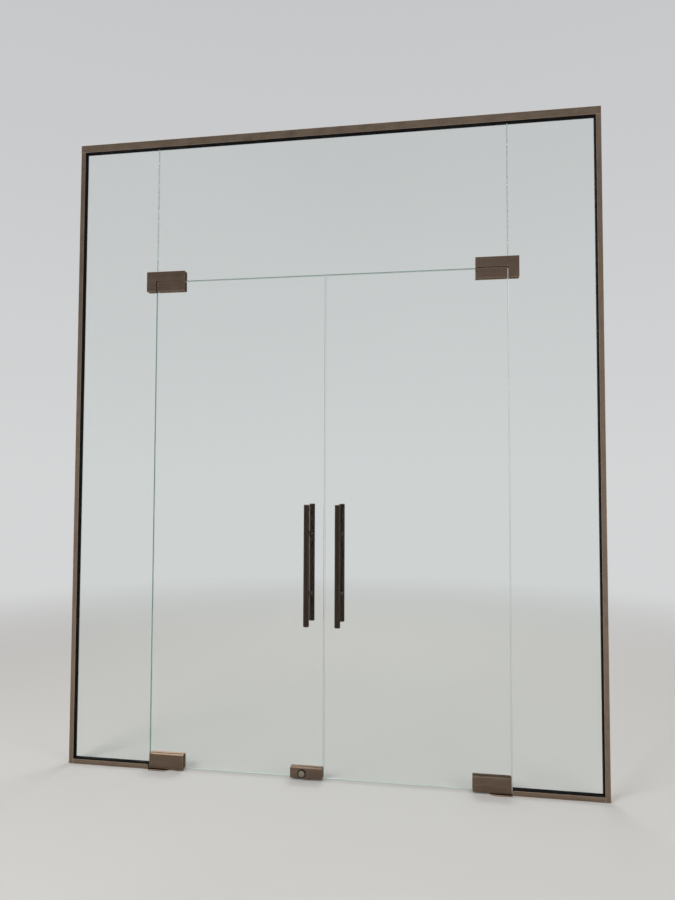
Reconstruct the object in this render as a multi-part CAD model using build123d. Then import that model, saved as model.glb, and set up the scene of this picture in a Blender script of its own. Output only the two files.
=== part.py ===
from build123d import *

import math
import os
from dataclasses import dataclass, field

# Glass entrance door: two double-acting leaves between full-height sidelights, with an overpanel.
# Millimetres, +X to the right as seen from the front, +Y to the rear, +Z up.
# The origin is on the floor, under the middle of the door and of the glass.

# Overall size and glass
overall_width = 2714
overall_height = 3318
opening_width = 1829
overpanel_underside = 2548
glass_thickness = 12
glass_arris = 0.8
glass_hole = 16

# Channels and glazing gaskets
channel_wall = 2
channel_bend = 1.5
head_leg = 40
jamb_leg = 24
sill_leg = 24
gasket_thickness = 11
gasket_depth = 15
gasket_lip = 7
gasket_tip = 2
setting_block_height = 6
setting_block_length = 80
head_glass_clearance = 12
jamb_glass_clearance = 4
sill_setback = 2
silicone_width = 4

# Wall and floor fixing holes, as spacings of pairs
fixing_hole = 9
head_hole_spacings = (600, 1400, 2200)
jamb_hole_spacings = (700, 1700, 2700)
sill_hole_spacing = 100

# Leaves
leaf_side_gap = 4
leaf_meeting_gap = 6
leaf_top_gap = 4
leaf_floor_gap = 12
pivot_setback = 57

# Patch fittings
patch_length = 155
patch_height = 51
patch_width = 40
patch_side_gap = 5.5
cover_wall = 1.5
cover_corner = 2
cover_edge_radius = 1.2
cover_glass_gap = 0.3
cover_clearance = 0.3
liner_thickness = 1
notch_length = 80.5
notch_height = 36
notch_radius = 12
notch_clearance = 1
core_depth = 13
pocket_clearance = 0.2
bottom_patch_length = 182
bottom_patch_height = 73
bottom_patch_width = 44
bottom_patch_floor_gap = 7
closer_length = 158
closer_height = 40
closer_thickness = 26
closer_corner = 4

# Clamp screws
screw_diameter = 8
screw_thread_gap = 0.05
screw_clearance = 0.2
screw_head_diameter = 13
screw_head_height = 8
counterbore_clearance = 0.5
screw_inset = 23
core_screw_inset = 19
screw_tip_gap = 1

# Pivots
top_pin_diameter = 15
top_pin_engagement = 26
top_pin_seat = 28
bush_diameter = 24
bush_length = 28
bush_flange_diameter = 30
bush_flange_height = 1.2
spindle_diameter = 20
spindle_engagement = 29
spindle_collar_diameter = 30
spindle_collar_gap = 0.3
running_gap = 0.05
seat_gap = 0.02
cover_relief = 1
pin_bevel = 1.5
cutter_margin = 1

# Floor plates
floor_plate_length = 109
floor_plate_width = 66
floor_plate_thickness = 5
floor_plate_reach = 54.5
floor_plate_bevel = 0.8
floor_hole_spacing = 66

# Corner lock on the left leaf
lock_patch_length = 164
lock_patch_floor_gap = 10
lock_notch_length = 137
lock_notch_height = 42
lock_centre_offset = 105
lock_centre_height = 23
case_wall = 1.8
cylinder_diameter = 32
cylinder_projection = 6
collar_diameter = 42
collar_height = 4
collar_bevel = 1.2
plug_diameter = 13
plug_projection = 0.4
keyway_width = 1.6
keyway_height = 8.5
keyway_depth = 6
square_size = 6
square_gap = 0.05
gear_module = 1.5
tooth_root_depth = 1.25 * gear_module
tooth_height = 2.25 * gear_module
pinion_teeth = 12
pressure_angle = 25
tooth_backlash = 0.1
bolt_width = 28
bolt_thickness = 10
bolt_offset = 71
bolt_tip_height = 8
bolt_guide_gap = 0.2
rack_teeth = 5
strike_length = 64
strike_width = 26
strike_thickness = 2
strike_clearance = 0.8
strike_slot_corner = 1
strike_hole = 4.5
strike_hole_spacing = 48
thumb_boss_diameter = 22
thumb_boss_height = 3
thumb_paddle_length = 34
thumb_paddle_thickness = 8
thumb_paddle_height = 16
thumb_paddle_edge = 1.5

# Pulls
pull_diameter = 28.6
pull_wall = 1.5
pull_length = 600
pull_centre_height = 1070.5
pull_post_spacing = 300
pull_edge_distance = 75
pull_standoff = 78
pull_cap_thickness = 3
pull_cap_bevel = 0.8
post_diameter = 19
post_foot_diameter = 26
post_foot_height = 4
stud_diameter = 12
pad_diameter = 26
pad_thickness = 1.5
sleeve_wall = 1.8

# Places worked out from the sizes
half_width = overall_width / 2
half_opening = opening_width / 2
half_glass = glass_thickness / 2
channel_depth = glass_thickness + 2 * (gasket_thickness + channel_wall)
glass_top = overall_height - channel_wall - head_glass_clearance
glass_outer_edge = half_width - channel_wall - jamb_glass_clearance
sidelight_bottom = channel_wall + setting_block_height
half_overpanel = half_opening - silicone_width
leaf_outer_edge = half_opening - leaf_side_gap
leaf_inner_edge = leaf_meeting_gap / 2
leaf_top = overpanel_underside - leaf_top_gap
pivot_x = half_opening - pivot_setback
patch_outer_end = half_opening - patch_side_gap
clamp_face = half_glass + liner_thickness
patch_inset = cover_wall + cover_clearance
sill_start = half_opening + sill_setback
sill_end = half_width - jamb_leg
sill_length = sill_end - sill_start
sill_middle = sill_start + sill_length / 2
jamb_height = overall_height - head_leg
lock_x = -leaf_inner_edge - lock_centre_offset
lock_z = lock_patch_floor_gap + lock_centre_height
bolt_x = -leaf_inner_edge - bolt_offset
pitch_radius = gear_module * pinion_teeth / 2
tooth_pitch = math.pi * gear_module


@dataclass
class Patch:
    """The sizes that the pieces of one patch fitting share."""

    outline: Sketch
    width: float
    notch: Sketch
    glass_screws: list = field(default_factory=list)
    core_screws: list = field(default_factory=list)

    @property
    def screws(self):
        return self.glass_screws + self.core_screws

    @property
    def cover_inside(self):
        return self.width / 2 - cover_wall

    @property
    def clamp_outline(self):
        return offset(self.outline, amount=-patch_inset, kind=Kind.INTERSECTION)

    @property
    def core_outline(self):
        return self.clamp_outline & offset(self.notch, amount=-notch_clearance, kind=Kind.INTERSECTION)


# Drawing helpers

def rectangle(left, right, bottom, top, radius=0):
    """A rectangle in the X and Z of the door, between its edges."""
    width = right - left
    height = top - bottom
    shape = RectangleRounded(width, height, radius) if radius else Rectangle(width, height)
    return Pos((left + right) / 2, (bottom + top) / 2) * shape


def plate(outline, front, rear):
    """An outline drawn in X and Z, made solid between two depths."""
    return extrude(Plane.XZ.offset(-front) * outline, amount=front - rear)


def rod_through(x, z, diameter, front, rear):
    """A round rod along Y."""
    return plate(Pos(x, z) * Circle(diameter / 2), front, rear)


def post_up(x, diameter, bottom, top):
    """A round rod along Z on the middle plane of the glass."""
    return Pos(x, 0, (bottom + top) / 2) * Cylinder(diameter / 2, top - bottom)


def mirrored(shape):
    """The same piece on the other side of the door."""
    return mirror(shape, about=Plane.YZ)


def turned_back(shape):
    """The same piece on the other face of the glass."""
    return mirror(shape, about=Plane.XZ)


def save(name, *shapes):
    """Writes one node with all the solids of the shapes."""
    solids = [solid for shape in shapes for solid in shape.solids()]
    whole = Compound(solids) if len(solids) > 1 else solids[0]
    export_step(whole, f"parts/{name}.step")


# Channels, gaskets and setting blocks

HEAD_PLANE = Plane((-half_width, 0, overall_height), x_dir=(0, 1, 0), z_dir=(1, 0, 0))
JAMB_PLANE = Plane((half_width, 0, 0), x_dir=(0, -1, 0), z_dir=(0, 0, 1))
SILL_PLANE = Plane((sill_start, 0, 0), x_dir=(0, -1, 0), z_dir=(1, 0, 0))


def channel_section(leg):
    """A folded U with the outer face of its web on the X axis and its legs pointing down."""
    outside = Pos(0, -leg / 2) * Rectangle(channel_depth, leg)
    inside = Pos(0, -leg / 2 - channel_wall) * Rectangle(channel_depth - 2 * channel_wall, leg)
    section = outside - inside
    return fillet(section.vertices().group_by(Axis.Y)[-1], channel_bend)


def gasket_section(leg):
    """Both gaskets of a channel: a strip behind the leg, and a rounded lip in front of its edge."""
    root = leg - gasket_depth
    outer = half_glass + gasket_thickness
    sides = Polyline(
        (half_glass + gasket_tip, -leg - gasket_lip),
        (half_glass, -leg - gasket_lip),
        (half_glass, -root),
        (outer, -root),
        (outer, -leg),
    )
    shoulder = RadiusArc(sides @ 1, sides @ 0, gasket_thickness)
    strip = make_face(sides + shoulder)
    return strip + mirror(strip, about=Plane.YZ)


def head_channel():
    channel = extrude(HEAD_PLANE * channel_section(head_leg), amount=overall_width)
    for spacing in head_hole_spacings:
        for x in (-spacing / 2, spacing / 2):
            channel -= Pos(x, 0, overall_height) * Cylinder(fixing_hole / 2, 3 * channel_wall)
    return channel


def jamb_channel():
    channel = extrude(JAMB_PLANE * channel_section(jamb_leg), amount=jamb_height)
    for spacing in jamb_hole_spacings:
        for z in (jamb_height / 2 - spacing / 2, jamb_height / 2 + spacing / 2):
            channel -= Pos(half_width, 0, z) * Rot(0, 90, 0) * Cylinder(fixing_hole / 2, 3 * channel_wall)
    return channel


def sill_channel():
    channel = extrude(SILL_PLANE * channel_section(sill_leg), amount=sill_length)
    for x in (sill_middle - sill_hole_spacing / 2, sill_middle + sill_hole_spacing / 2):
        channel -= post_up(x, fixing_hole, -channel_wall, 2 * channel_wall)
    return channel


def glazing_gaskets():
    """The strips along the head, and those of one jamb and sill with their mirrored pairs."""
    head = extrude(
        HEAD_PLANE.offset(half_width - glass_outer_edge) * gasket_section(head_leg),
        amount=2 * glass_outer_edge,
    )
    jamb_bottom = sill_leg + gasket_lip
    jamb_top = overall_height - head_leg - gasket_lip
    jamb = extrude(JAMB_PLANE.offset(jamb_bottom) * gasket_section(jamb_leg), amount=jamb_top - jamb_bottom)
    sill = extrude(SILL_PLANE * gasket_section(sill_leg), amount=glass_outer_edge - sill_start)
    return [head, jamb, sill, mirrored(jamb), mirrored(sill)]


def setting_blocks():
    """The blocks that each sidelight stands on, at the quarter points of its sill."""
    blocks = []
    for x in (sill_start + sill_length / 4, sill_end - sill_length / 4):
        middle = Pos(x, 0, channel_wall + setting_block_height / 2)
        block = middle * Box(setting_block_length, glass_thickness, setting_block_height)
        blocks += [block, mirrored(block)]
    return blocks


# Patch fittings

def corner_notch(x, z, length, height):
    """A notch that reaches past the corner of a pane, with its one inner corner round."""
    reach = 2 * notch_radius
    left, right = sorted((x, x + length + math.copysign(reach, length)))
    bottom, top = sorted((z, z + height + math.copysign(reach, height)))
    return rectangle(left, right, bottom, top, notch_radius)


def fixed_corner_patch():
    """The L-shaped patch that joins overpanel and sidelight and carries the top pin."""
    arm_end = patch_outer_end - patch_length
    outer_side = half_opening + patch_height
    top = overpanel_underside + patch_height
    level = rectangle(arm_end, outer_side, overpanel_underside, top)
    upright = rectangle(half_opening, outer_side, leaf_top - patch_height, top)
    outline = level + upright
    screw_height = overpanel_underside + patch_height / 2
    upright_middle = half_opening + patch_height / 2
    beside_sidelight = rectangle(arm_end, half_opening, leaf_top - patch_height, top)
    notch = corner_notch(half_overpanel - notch_length, overpanel_underside + notch_height,
                         notch_length, -notch_height)
    return Patch(
        outline=fillet(outline.vertices(), cover_corner),
        width=patch_width,
        notch=notch & beside_sidelight,
        glass_screws=[
            (arm_end + screw_inset, screw_height),
            (upright_middle, screw_height),
            (upright_middle, leaf_top - patch_height + screw_inset),
        ],
        core_screws=[(patch_outer_end - core_screw_inset, screw_height)],
    )


def leaf_top_patch():
    """The patch at the top outer corner of the right leaf."""
    bottom = leaf_top - patch_height
    screw_height = leaf_top - patch_height / 2
    inner_end = patch_outer_end - patch_length
    return Patch(
        outline=rectangle(inner_end, patch_outer_end, bottom, leaf_top, cover_corner),
        width=patch_width,
        notch=corner_notch(leaf_outer_edge - notch_length, leaf_top - notch_height,
                           notch_length, notch_height),
        glass_screws=[(inner_end + screw_inset, screw_height)],
        core_screws=[(patch_outer_end - core_screw_inset, screw_height)],
    )


def leaf_bottom_patch():
    """The taller patch at the foot of the right leaf, which holds the hydraulic closer."""
    inner_end = patch_outer_end - bottom_patch_length
    top = bottom_patch_floor_gap + bottom_patch_height
    closer_top = bottom_patch_floor_gap + patch_inset + closer_height
    screw_height = (closer_top + top) / 2
    notch_left = patch_outer_end - patch_inset - closer_length - notch_clearance
    notch_top = closer_top + notch_clearance
    return Patch(
        outline=rectangle(inner_end, patch_outer_end, bottom_patch_floor_gap, top, cover_corner),
        width=bottom_patch_width,
        notch=rectangle(notch_left, leaf_outer_edge + 2 * notch_radius,
                        leaf_floor_gap - 2 * notch_radius, notch_top, closer_corner),
        glass_screws=[
            (inner_end + screw_inset, screw_height),
            (patch_outer_end - screw_inset, screw_height),
        ],
    )


def lock_patch():
    """The patch with the corner lock, at the free bottom corner of the left leaf."""
    outer_end = -leaf_inner_edge
    inner_end = outer_end - lock_patch_length
    bottom = lock_patch_floor_gap
    top = bottom + patch_height
    return Patch(
        outline=rectangle(inner_end, outer_end, bottom, top, cover_corner),
        width=patch_width,
        notch=rectangle(outer_end - lock_notch_length, outer_end + 2 * notch_radius,
                        leaf_floor_gap - 2 * notch_radius, leaf_floor_gap + lock_notch_height,
                        closer_corner),
        glass_screws=[
            (inner_end + screw_inset / 2 + patch_inset, bottom + patch_height / 4),
            (inner_end + screw_inset / 2 + patch_inset, top - patch_height / 4),
        ],
        core_screws=[(outer_end - screw_inset, bottom + patch_height / 2)],
    )


CORNER = fixed_corner_patch()
TOP = leaf_top_patch()
BOTTOM = leaf_bottom_patch()
LOCK = lock_patch()


def front_cover(patch):
    """A pressed cover with rounded front edges, open towards the glass."""
    face = patch.width / 2
    shell = plate(patch.outline, -face, -half_glass - cover_glass_gap)
    shell = fillet(shell.faces().sort_by(Axis.Y)[0].edges(), cover_edge_radius)
    inside = offset(patch.outline, amount=-cover_wall, kind=Kind.INTERSECTION)
    return shell - plate(inside, -patch.cover_inside, 0)


def clamp_plate(patch):
    """The front half of a clamp, without screw holes."""
    return plate(patch.clamp_outline, -patch.cover_inside, -clamp_face)


def bored_for_screws(front, rear, patch):
    """Counterbored holes in the front half and threaded holes in the rear half."""
    head = screw_head_diameter + 2 * counterbore_clearance
    seat = -patch.cover_inside + screw_head_height + counterbore_clearance
    for x, z in patch.screws:
        front -= rod_through(x, z, head, -patch.cover_inside, seat)
        front -= rod_through(x, z, screw_diameter + 2 * screw_clearance, seat, patch.cover_inside)
        rear -= rod_through(x, z, screw_diameter, 0, patch.cover_inside)
    return front, rear


def pivot_clamp(patch):
    """The casting whose core fills the glass notch, and the clamp plate that the core reaches into."""
    casting = clamp_plate(patch) + plate(patch.core_outline, -patch.cover_inside, core_depth)
    pocket = offset(patch.core_outline, amount=pocket_clearance, kind=Kind.INTERSECTION)
    back = turned_back(clamp_plate(patch)) - plate(pocket, 0, core_depth + pocket_clearance)
    return bored_for_screws(casting, back, patch)


def liners(patch):
    """The pads between the clamp and both faces of the glass."""
    area = patch.clamp_outline - patch.notch
    for x, z in patch.glass_screws:
        area -= Pos(x, z) * Circle(glass_hole / 2)
    pad = plate(area, -clamp_face, -half_glass)
    return [pad, turned_back(pad)]


def clamp_screws(patch):
    """Cap screws from the front half into the thread of the rear half."""
    screws = []
    seat = -patch.cover_inside + screw_head_height + counterbore_clearance
    for x, z in patch.screws:
        shank = rod_through(x, z, screw_diameter - 2 * screw_thread_gap, seat, patch.cover_inside - screw_tip_gap)
        head = rod_through(x, z, screw_head_diameter, seat - screw_head_height, seat)
        screws.append(shank + head)
    return screws


def glass_holes(patch):
    """The drilled holes of a pane, for the clamp screws of a patch."""
    reach = glass_thickness
    holes = Part()
    for x, z in patch.glass_screws:
        holes += rod_through(x, z, glass_hole, -reach, reach)
    return holes


# Glass

def pane(outline):
    """A sheet of toughened glass with ground arrises."""
    sheet = plate(outline, -half_glass, half_glass)
    return chamfer(sheet.faces().filter_by(Axis.Y).edges(), glass_arris)


def sidelight_glass():
    sheet = pane(rectangle(half_opening, glass_outer_edge, sidelight_bottom, glass_top))
    return sheet - glass_holes(CORNER)


def overpanel_glass():
    outline = rectangle(-half_overpanel, half_overpanel, overpanel_underside, glass_top)
    outline -= CORNER.notch
    outline -= mirror(CORNER.notch, about=Plane.YZ)
    holes = glass_holes(CORNER)
    return pane(outline) - holes - mirrored(holes)


def leaf_glass(extra_notch=None):
    """The right leaf's pane. The left one has a further notch, given as on the right leaf."""
    outline = rectangle(leaf_inner_edge, leaf_outer_edge, leaf_floor_gap, leaf_top)
    outline -= TOP.notch
    outline -= BOTTOM.notch
    if extra_notch:
        outline -= extra_notch
    sheet = pane(outline) - glass_holes(TOP) - glass_holes(BOTTOM)
    for z in pull_post_heights():
        sheet -= rod_through(pull_x(), z, stud_hole(), -glass_thickness, glass_thickness)
    return sheet


def silicone_joint():
    """The clear joint between overpanel and sidelight, above the corner patch's casting."""
    bottom = overpanel_underside + notch_height
    return plate(rectangle(half_overpanel, half_opening, bottom, glass_top), -half_glass, half_glass)


# Fixed corner patches and pivots

def corner_cover():
    relief = post_up(pivot_x, top_pin_diameter + 2 * cover_relief,
                     overpanel_underside - cover_wall, overpanel_underside + 2 * cover_wall)
    return front_cover(CORNER) - relief


def corner_clamp():
    casting, back = pivot_clamp(CORNER)
    bore = post_up(pivot_x, top_pin_diameter + 2 * seat_gap,
                   overpanel_underside, overpanel_underside + patch_inset + top_pin_seat)
    return [casting - bore, back]


def top_pivot_pin():
    """The fixed pin: seated in the corner casting, with a rounded end in the leaf's bush."""
    top = overpanel_underside + patch_inset + top_pin_seat - running_gap
    bottom = leaf_top - top_pin_engagement
    pin = post_up(pivot_x, top_pin_diameter, bottom, top)
    return chamfer(pin.edges().sort_by(Axis.Z)[0], pin_bevel)


def floor_plate():
    """The plate under the bottom pivot, with a round inner end and two fixing holes."""
    right = pivot_x + floor_plate_reach
    radius = floor_plate_width / 2
    straight = floor_plate_length - radius
    outline = Pos(right - straight / 2, 0) * Rectangle(straight, floor_plate_width)
    outline += Pos(right - straight, 0) * Circle(radius)
    base = extrude(outline, amount=floor_plate_thickness)
    base = chamfer(base.faces().sort_by(Axis.Z)[-1].edges(), floor_plate_bevel)
    base -= post_up(pivot_x, spindle_diameter + 2 * seat_gap, 0, floor_plate_thickness)
    for x in (pivot_x - floor_hole_spacing / 2, pivot_x + floor_hole_spacing / 2):
        base -= post_up(x, fixing_hole, 0, floor_plate_thickness)
    return base


def floor_spindle():
    """The fixed spindle that the closer turns on, with the collar that carries the leaf."""
    housing_bottom = bottom_patch_floor_gap + patch_inset
    spindle = post_up(pivot_x, spindle_diameter, 0, housing_bottom + spindle_engagement)
    spindle = chamfer(spindle.edges().sort_by(Axis.Z)[-1], pin_bevel)
    collar_top = housing_bottom - spindle_collar_gap
    return spindle + post_up(pivot_x, spindle_collar_diameter, floor_plate_thickness, collar_top)


# Leaf patches

def top_patch_cover():
    relief = post_up(pivot_x, bush_flange_diameter + 2 * cover_relief, leaf_top - 2 * cover_wall, leaf_top + cutter_margin)
    return front_cover(TOP) - relief


def top_patch_clamp():
    casting, back = pivot_clamp(TOP)
    seat = leaf_top - patch_inset
    bore = post_up(pivot_x, bush_diameter + 2 * seat_gap, seat - bush_length - running_gap, seat)
    return [casting - bore, back - bore]


def top_pivot_bush():
    """A flanged bush, pressed into the leaf's casting from above."""
    seat = leaf_top - patch_inset
    bush = post_up(pivot_x, bush_diameter, seat - bush_length, seat)
    bush += post_up(pivot_x, bush_flange_diameter, seat, seat + bush_flange_height)
    bore = top_pin_diameter + 2 * running_gap
    return bush - post_up(pivot_x, bore, seat - bush_length, seat + bush_flange_height)


def closer_outline():
    """The closer's housing, which fills the bottom notch of the leaf."""
    right = patch_outer_end - patch_inset
    bottom = bottom_patch_floor_gap + patch_inset
    return rectangle(right - closer_length, right, bottom, bottom + closer_height, closer_corner)


def closer():
    """The sealed hydraulic housing with the socket for the floor spindle."""
    half = closer_thickness / 2
    housing = plate(closer_outline(), -half, half)
    bottom = bottom_patch_floor_gap + patch_inset
    bore = spindle_diameter + 2 * running_gap
    return housing - post_up(pivot_x, bore, bottom, bottom + spindle_engagement + cutter_margin)


def bottom_patch_cover():
    top = bottom_patch_floor_gap + 2 * cover_wall
    relief = post_up(pivot_x, spindle_collar_diameter + 2 * cover_relief, 0, top)
    return front_cover(BOTTOM) - relief


def bottom_patch_clamp():
    """Two clamp plates with pockets for the closer between them."""
    reach = closer_thickness / 2 + pocket_clearance
    pocket = plate(offset(closer_outline(), amount=pocket_clearance), -reach, reach)
    front = clamp_plate(BOTTOM) - pocket
    return bored_for_screws(front, turned_back(clamp_plate(BOTTOM)) - pocket, BOTTOM)


# Corner lock

def lock_cover():
    hole = rod_through(lock_x, lock_z, cylinder_diameter + 2 * cover_clearance, -LOCK.width, 0)
    return front_cover(LOCK) - hole


def lock_patch_clamp():
    """The two plates that clamp glass and lock case, bored for the cylinders."""
    hole = rod_through(lock_x, lock_z, cylinder_diameter + 2 * running_gap, -LOCK.width, LOCK.width)
    front, rear = bored_for_screws(clamp_plate(LOCK), turned_back(clamp_plate(LOCK)), LOCK)
    return [front - hole, rear - hole]


def case_outline():
    right = -leaf_inner_edge - patch_inset
    left = -leaf_inner_edge - lock_notch_length + notch_clearance
    bottom = lock_patch_floor_gap + patch_inset
    top = leaf_floor_gap + lock_notch_height - notch_clearance
    return rectangle(left, right, bottom, top, closer_corner - notch_clearance)


def case_cavity():
    """The room for the pinion and for the travel of rack and bolt."""
    left = lock_x + pitch_radius - gear_module - 2 * bolt_guide_gap
    right = bolt_x + bolt_width / 2 + bolt_guide_gap
    bottom = lock_patch_floor_gap + patch_inset + case_wall
    top = rack_top() + 2 * bolt_guide_gap
    room = rectangle(left, right, bottom, top)
    return room + Pos(lock_x, lock_z) * Circle(pitch_radius + gear_module + 2 * bolt_guide_gap)


def lock_case():
    """The case with its cavity, and the lid that closes it from the front."""
    inside = bolt_thickness / 2 + bolt_guide_gap
    body = plate(case_outline(), -inside, clamp_face) - plate(case_cavity(), -inside, inside)
    body -= bolt_section(bolt_guide_gap, lock_patch_floor_gap, lock_z)
    lid = plate(case_outline(), -clamp_face, -inside)
    turn_hole = square_size * math.sqrt(2) + 4 * running_gap
    pieces = []
    for piece in (body, lid):
        piece -= rod_through(lock_x, lock_z, turn_hole, -clamp_face, clamp_face)
        for x, z in LOCK.core_screws:
            piece -= rod_through(x, z, screw_diameter + 2 * screw_clearance, -clamp_face, clamp_face)
        pieces.append(piece)
    return pieces


def cylinder_with_collar(face):
    """One lock cylinder with its collar on the cover, bored for a plug."""
    body = rod_through(lock_x, lock_z, cylinder_diameter, -face, -clamp_face - running_gap)
    body = chamfer(body.faces().sort_by(Axis.Y)[0].edges(), collar_bevel)
    cover_face = LOCK.width / 2
    collar = rod_through(lock_x, lock_z, collar_diameter, -cover_face - collar_height, -cover_face)
    collar = chamfer(collar.faces().sort_by(Axis.Y)[0].edges(), collar_bevel)
    bore = rod_through(lock_x, lock_z, plug_diameter + 2 * running_gap, -face, 0)
    return body + collar - bore


def lock_cylinders():
    """The key cylinder in front, and the rose of the thumb turn behind."""
    front = cylinder_with_collar(LOCK.width / 2 + cylinder_projection)
    rear = turned_back(cylinder_with_collar(LOCK.width / 2 + collar_height))
    return [front, rear]


def lock_plug():
    """The key plug with its keyway, and the square spindle behind it."""
    face = LOCK.width / 2 + cylinder_projection + plug_projection
    shoulder = clamp_face + 2 * running_gap
    plug = rod_through(lock_x, lock_z, plug_diameter, -face, -shoulder)
    keyway = Pos(lock_x, lock_z) * Rectangle(keyway_width, keyway_height)
    plug -= plate(keyway, -face, -face + keyway_depth)
    square = Pos(lock_x, lock_z) * Rectangle(square_size, square_size)
    return plug + plate(square, -shoulder, LOCK.width / 2)


def involute(angle):
    return math.tan(angle) - angle


def tooth_half_angle(radius):
    """Half the angle that a pinion tooth takes at a radius outside the base circle."""
    base_radius = pitch_radius * math.cos(math.radians(pressure_angle))
    at_pitch = math.pi / (2 * pinion_teeth) - tooth_backlash / pitch_radius
    flank_angle = math.acos(min(1, base_radius / radius))
    return at_pitch + involute(math.radians(pressure_angle)) - involute(flank_angle)


def polar(radius, angle):
    return (radius * math.cos(angle), radius * math.sin(angle))


def pinion_tooth():
    """One involute tooth that points along X, with its foot inside the root circle."""
    base_radius = pitch_radius * math.cos(math.radians(pressure_angle))
    tip_radius = pitch_radius + gear_module
    steps = [base_radius + (tip_radius - base_radius) * step / 4 for step in range(5)]
    flank = [polar(radius, tooth_half_angle(radius)) for radius in steps]
    other = [(x, -y) for x, y in flank]
    foot = polar(base_radius / 2, tooth_half_angle(base_radius))
    outline = Polyline(flank[0], foot, (foot[0], -foot[1]), other[0])
    outline += Spline(*flank)
    outline += Spline(*other)
    outline += ThreePointArc(flank[-1], (tip_radius, 0), other[-1])
    return make_face(outline)


def lock_pinion():
    """The pinion on the square spindle, with a tooth pointing at the rack."""
    outline = Sketch() + Circle(pitch_radius - tooth_root_depth)
    tooth = pinion_tooth()
    for number in range(pinion_teeth):
        outline += Rot(0, 0, number * 360 / pinion_teeth) * tooth
    outline -= Rectangle(square_size + 2 * square_gap, square_size + 2 * square_gap)
    return plate(Pos(lock_x, lock_z) * outline, -bolt_thickness / 2, bolt_thickness / 2)


def rack_bottom():
    """The foot of the rack's lowest tooth, which is the one below the pinion's middle."""
    return lock_z - tooth_pitch / 2 - rack_tooth_foot()


def rack_top():
    return rack_bottom() + (rack_teeth - 1) * tooth_pitch + 2 * rack_tooth_foot()


def rack_tooth_foot():
    """Half the width of a rack tooth at its foot."""
    return tooth_pitch / 4 + tooth_root_depth * math.tan(math.radians(pressure_angle))


def rack_tooth():
    """One straight-sided tooth that points to -X from the rack's root line."""
    slope = math.tan(math.radians(pressure_angle))
    foot = rack_tooth_foot()
    tip = foot - tooth_height * slope
    corners = Polyline((0, -foot), (-tooth_height, -tip), (-tooth_height, tip), (0, foot), close=True)
    return make_face(corners)


def bolt_section(gap, bottom, top):
    """The bolt's oblong bar, or with a gap the guide that it slides in."""
    section = SlotOverall(bolt_width + 2 * gap, bolt_thickness + 2 * gap)
    return extrude(Plane.XY.offset(bottom) * Pos(bolt_x, 0) * section, amount=top - bottom)


def lock_bolt():
    """The oblong bolt, with a rack on its tail that the pinion drives."""
    root_x = lock_x + pitch_radius + tooth_root_depth
    tail = rectangle(root_x, bolt_x, rack_bottom(), rack_top())
    for number in range(rack_teeth):
        tooth_z = lock_z + (number - 0.5) * tooth_pitch
        tail += Pos(root_x, tooth_z) * rack_tooth()
    bar = bolt_section(0, bolt_tip_height, rack_top() - gear_module)
    return bar + plate(tail, -bolt_thickness / 2, bolt_thickness / 2)


def lock_strike():
    """The thin floor plate with the slot for the bolt and two fixing holes."""
    base = extrude(Pos(bolt_x, 0) * SlotOverall(strike_length, strike_width), amount=strike_thickness)
    slot_length = bolt_width + 2 * strike_clearance
    slot_width = bolt_thickness + 2 * strike_clearance
    slot = Pos(bolt_x, 0) * RectangleRounded(slot_length, slot_width, strike_slot_corner)
    base -= extrude(slot, amount=strike_thickness)
    for x in (bolt_x - strike_hole_spacing / 2, bolt_x + strike_hole_spacing / 2):
        base -= post_up(x, strike_hole, 0, strike_thickness)
    return base


def lock_thumb_turn():
    """The inside turn: a shank in the rose, a round boss and an upright paddle."""
    rose_face = LOCK.width / 2 + collar_height
    boss_rear = rose_face + running_gap + thumb_boss_height
    shank = rod_through(lock_x, lock_z, plug_diameter, clamp_face + 2 * running_gap, rose_face + running_gap)
    boss = rod_through(lock_x, lock_z, thumb_boss_diameter, rose_face + running_gap, boss_rear)
    paddle = Pos(lock_x, lock_z) * Rot(0, 0, 90) * SlotOverall(thumb_paddle_length, thumb_paddle_thickness)
    grip = plate(paddle, boss_rear, boss_rear + thumb_paddle_height)
    grip = fillet(grip.faces().sort_by(Axis.Y)[-1].edges(), thumb_paddle_edge)
    hole = Pos(lock_x, lock_z) * Rectangle(square_size + 2 * square_gap, square_size + 2 * square_gap)
    socket = plate(hole, clamp_face, LOCK.width / 2 + running_gap)
    return shank + boss + grip - socket


# Pulls

def pull_x():
    """The pulls' distance from the middle of the door."""
    return leaf_inner_edge + pull_edge_distance


def pull_post_heights():
    return (pull_centre_height - pull_post_spacing / 2, pull_centre_height + pull_post_spacing / 2)


def stud_hole():
    return stud_diameter + 2 * (sleeve_wall + running_gap)


def pull():
    """The front tube with a cap in each end."""
    bottom = pull_centre_height - pull_length / 2
    top = pull_centre_height + pull_length / 2
    centre = Pos(pull_x(), -pull_standoff, pull_centre_height)
    tube_length = pull_length - 2 * pull_cap_thickness
    tube = centre * (Cylinder(pull_diameter / 2, tube_length)
                     - Cylinder(pull_diameter / 2 - pull_wall, tube_length))
    cap = Pos(pull_x(), -pull_standoff, top - pull_cap_thickness / 2) * Cylinder(
        pull_diameter / 2, pull_cap_thickness)
    cap = chamfer(cap.edges().sort_by(Axis.Z)[-1], pull_cap_bevel)
    foot_cap = mirror(cap, about=Plane.XY.offset((bottom + top) / 2))
    return [tube, cap, foot_cap]


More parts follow.
